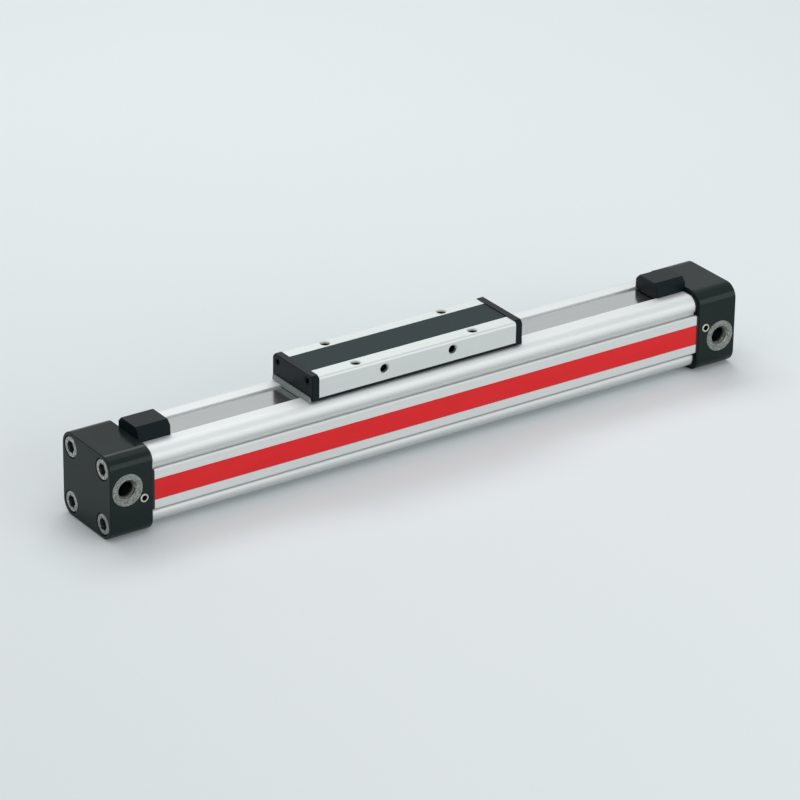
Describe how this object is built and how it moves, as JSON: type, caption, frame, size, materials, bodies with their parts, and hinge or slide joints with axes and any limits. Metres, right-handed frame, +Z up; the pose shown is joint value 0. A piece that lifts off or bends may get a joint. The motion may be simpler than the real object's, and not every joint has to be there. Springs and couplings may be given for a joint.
{
  "type": "rodless pneumatic cylinder",
  "caption": "Rodless air cylinder: a slotted barrel between two end caps, with a carriage that the piston inside drives along the slot through flexible sealing bands.",
  "frame": {"origin": "on the surface that the end caps rest on, midway along the cylinder and under its axis", "axes": "+X along the cylinder, towards the cap at the right of the picture; -Y to the ports; +Z up, to the carriage"},
  "size_m": [0.35, 0.041, 0.0519],
  "materials": {
    "anodised_profile": "natural anodised, matt satin",
    "anodised_saddle": "natural anodised, satin",
    "black_cap": "black coated, satin",
    "black_moulding": "black moulded, satin",
    "dark_cover": "dark slate grey, satin",
    "red_strip": "signal red, semi-gloss",
    "band_steel": "cold-rolled stainless, fine grain along the band",
    "screw_steel": "zinc plated, dull",
    "insert_metal": "turned and plated, slightly rough",
    "needle_metal": "turned, bright",
    "black_rubber": "matt",
    "grey_plastic": "mid grey, matt",
    "white_plastic": "natural white, matt",
    "cast_aluminium": "machined",
    "magnet_black": "sintered, dull"
  },
  "bodies": {
    "base": {"barrel_profile": "anodised_profile", "front_colour_strip": "red_strip", "band_magnet_strips": "magnet_black", "outer_cover_band": "band_steel", "inner_seal_band": "band_steel", "left_end_cap": "black_cap", "left_cap_screws": "screw_steel", "left_cap_o_ring": "black_rubber", "left_cushion_seal": "black_rubber", "left_port_insert": "insert_metal", "left_end_gasket": "black_rubber", "left_band_clamp_cover": "black_moulding", "left_band_clamp": "grey_plastic", "right_end_cap": "black_cap", "right_cap_screws": "screw_steel", "right_cap_o_ring": "black_rubber", "right_cushion_seal": "black_rubber", "right_port_insert": "insert_metal", "right_end_gasket": "black_rubber", "right_band_clamp_cover": "black_moulding", "right_band_clamp": "grey_plastic"},
    "carriage": {"piston_yoke": "cast_aluminium", "yoke_screws": "screw_steel", "piston_magnet": "magnet_black", "carriage_saddle": "anodised_saddle", "carriage_top_cover": "dark_cover", "front_slide_strip": "black_moulding", "rear_slide_strip": "black_moulding", "left_piston_head": "cast_aluminium", "left_piston_seal": "black_rubber", "left_wear_ring": "white_plastic", "left_carriage_end_plate": "black_moulding", "left_end_plate_screws": "screw_steel", "left_scraper": "grey_plastic", "left_band_guide": "white_plastic", "right_piston_head": "cast_aluminium", "right_piston_seal": "black_rubber", "right_wear_ring": "white_plastic", "right_carriage_end_plate": "black_moulding", "right_end_plate_screws": "screw_steel", "right_scraper": "grey_plastic", "right_band_guide": "white_plastic"},
    "left_cushion_screw": {"left_cushion_screw": "needle_metal"},
    "right_cushion_screw": {"right_cushion_screw": "needle_metal"}
  },
  "joints": [
    {"name": "carriage_slide", "type": "slide", "parent": "base", "child": "carriage", "axis": [1, 0, 0], "range_m": [-0.0675, 0.0825], "deforming": ["outer_cover_band", "inner_seal_band"]},
    {"name": "left_cushion_turn", "type": "hinge", "parent": "base", "child": "left_cushion_screw", "pos_m": [-0.1573, -0.0205, 0.0181], "axis": [0, -1, 0], "range_deg": [0, 1080]},
    {"name": "right_cushion_turn", "type": "hinge", "parent": "base", "child": "right_cushion_screw", "pos_m": [0.1573, -0.0205, 0.0229], "axis": [0, -1, 0], "range_deg": [0, 1080]}
  ]
}
